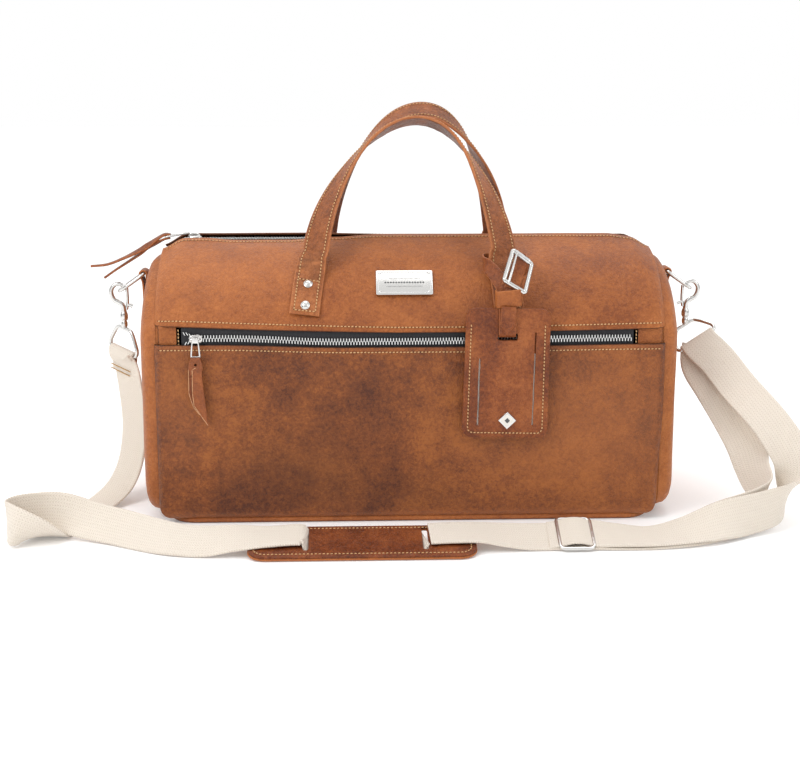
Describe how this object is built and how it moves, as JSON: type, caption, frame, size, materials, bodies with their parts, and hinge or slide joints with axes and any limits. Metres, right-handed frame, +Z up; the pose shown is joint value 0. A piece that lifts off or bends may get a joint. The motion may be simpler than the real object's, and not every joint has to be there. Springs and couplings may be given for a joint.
{
  "type": "weekender bag",
  "caption": "Leather weekender bag with twin carry handles, zipped top and front pocket, luggage tag, and a clip-on webbing shoulder strap lying round its front.",
  "frame": {"origin": "middle of the base, on the surface that the bag stands on", "axes": "+X along the bag towards the end with the doubled strap, -Y out of the pocket side, +Z up"},
  "size_m": [0.7696, 0.348, 0.4016],
  "materials": {
    "upper_leather": "oiled full grain, satin",
    "pocket_leather": "oiled, mottled, satin",
    "handle_leather": "oiled, creased, satin",
    "trim_leather": "oiled, satin",
    "nickel": "polished nickel plate",
    "cotton_webbing": "coarse woven cotton",
    "zip_tape": "woven tape",
    "lining_cloth": "plain weave cotton",
    "fibre_board": "pressed fibre",
    "card": "uncoated card"
  },
  "bodies": {
    "bag": {"base_board": "fibre_board", "bottom_panel": "upper_leather", "dring_tab_left": "upper_leather", "dring_tab_right": "upper_leather", "front_pocket_panel": "pocket_leather", "front_upper_panel": "upper_leather", "handle_tab_front_left": "handle_leather", "handle_tab_front_right": "handle_leather", "handle_tab_rear_left": "handle_leather", "handle_tab_rear_right": "handle_leather", "left_gusset": "upper_leather", "lining": "lining_cloth", "name_plate": "nickel", "pocket_back_panel": "upper_leather", "pocket_zip_tab_left": "upper_leather", "pocket_zip_tab_right": "upper_leather", "pocket_zip_tape": "zip_tape", "pocket_zip_teeth": "nickel", "rear_panel": "upper_leather", "right_gusset": "upper_leather", "rivet_front_left_lower": "nickel", "rivet_front_left_upper": "nickel", "rivet_front_right_lower": "nickel", "rivet_front_right_upper": "nickel", "rivet_rear_left_lower": "nickel", "rivet_rear_left_upper": "nickel", "rivet_rear_right_lower": "nickel", "rivet_rear_right_upper": "nickel", "shoulder_pad": "trim_leather", "strap_left": "cotton_webbing", "strap_right_lower": "cotton_webbing", "strap_right_upper": "cotton_webbing", "strap_slider": "nickel", "tag_buckle": "nickel", "tag_keeper": "trim_leather", "tag_strap_upper": "trim_leather", "top_zip_tape": "zip_tape", "top_zip_teeth": "nickel"},
    "top_slider": {"top_zip_slider": "nickel"},
    "top_puller": {"top_zip_puller": "nickel", "top_pull_thong": "trim_leather"},
    "pocket_slider": {"pocket_zip_slider": "nickel"},
    "pocket_puller": {"pocket_zip_puller": "nickel", "pocket_pull_leather": "trim_leather"},
    "front_handle": {"front_handle_loop": "handle_leather"},
    "rear_handle": {"rear_handle_loop": "handle_leather"},
    "luggage_tag": {"tag_front": "trim_leather", "tag_back": "trim_leather", "tag_card": "card", "tag_badge": "nickel", "tag_strap_lower": "trim_leather"},
    "buckle_prong": {"tag_prong": "nickel"},
    "left_ring": {"dring_left": "nickel", "snap_hook_left": "nickel", "snap_eye_left": "nickel"},
    "right_ring": {"dring_right": "nickel", "snap_hook_right": "nickel", "snap_eye_right": "nickel"},
    "left_bolt": {"snap_bolt_left": "nickel"},
    "right_bolt": {"snap_bolt_right": "nickel"}
  },
  "joints": [
    {"name": "top_zip_slide", "type": "slide", "parent": "bag", "child": "top_slider", "axis": [1, 0, 0], "range_m": [0, 0.428], "deforming": ["top_pull_thong"]},
    {"name": "top_puller_flip", "type": "hinge", "parent": "top_slider", "child": "top_puller", "pos_m": [-0.219, 0, 0.272], "axis": [0, 1, 0], "range_deg": [0, 160]},
    {"name": "pocket_zip_slide", "type": "slide", "parent": "bag", "child": "pocket_slider", "axis": [1, 0, 0], "range_m": [0, 0.405]},
    {"name": "pocket_puller_flip", "type": "hinge", "parent": "pocket_slider", "child": "pocket_puller", "pos_m": [-0.205, -0.1184, 0.1847], "axis": [-1, 0, 0], "range_deg": [0, 140]},
    {"name": "front_handle_swing", "type": "hinge", "parent": "bag", "child": "front_handle", "pos_m": [0, -0.0735, 0.262], "axis": [1, 0, 0], "range_deg": [0, 90]},
    {"name": "rear_handle_swing", "type": "hinge", "parent": "bag", "child": "rear_handle", "pos_m": [0, 0.0735, 0.262], "axis": [-1, 0, 0], "range_deg": [0, 95]},
    {"name": "tag_swing", "type": "hinge", "parent": "bag", "child": "luggage_tag", "pos_m": [0.09, -0.1292, 0.214], "axis": [-1, 0, 0], "range_deg": [0, 80]},
    {"name": "buckle_prong_hinge", "type": "hinge", "parent": "bag", "child": "buckle_prong", "pos_m": [0.09675, -0.1284, 0.2345], "axis": [0.8678, -0.089, -0.4889], "range_deg": [0, 60]},
    {"name": "left_ring_swing", "type": "hinge", "parent": "bag", "child": "left_ring", "pos_m": [-0.2665, 0, 0.231], "axis": [0, 1, 0], "range_deg": [0, 25], "deforming": ["strap_left"]},
    {"name": "right_ring_swing", "type": "hinge", "parent": "bag", "child": "right_ring", "pos_m": [0.2665, 0, 0.231], "axis": [0, -1, 0], "range_deg": [0, 25], "deforming": ["strap_right_lower", "strap_right_upper"]},
    {"name": "left_bolt_slide", "type": "slide", "parent": "left_ring", "child": "left_bolt", "axis": [0, 0, -1], "range_m": [0, 0.006], "stiffness_N_per_m": 300, "springref_m": -0.003},
    {"name": "right_bolt_slide", "type": "slide", "parent": "right_ring", "child": "right_bolt", "axis": [0, 0, -1], "range_m": [0, 0.006], "stiffness_N_per_m": 300, "springref_m": -0.003}
  ]
}
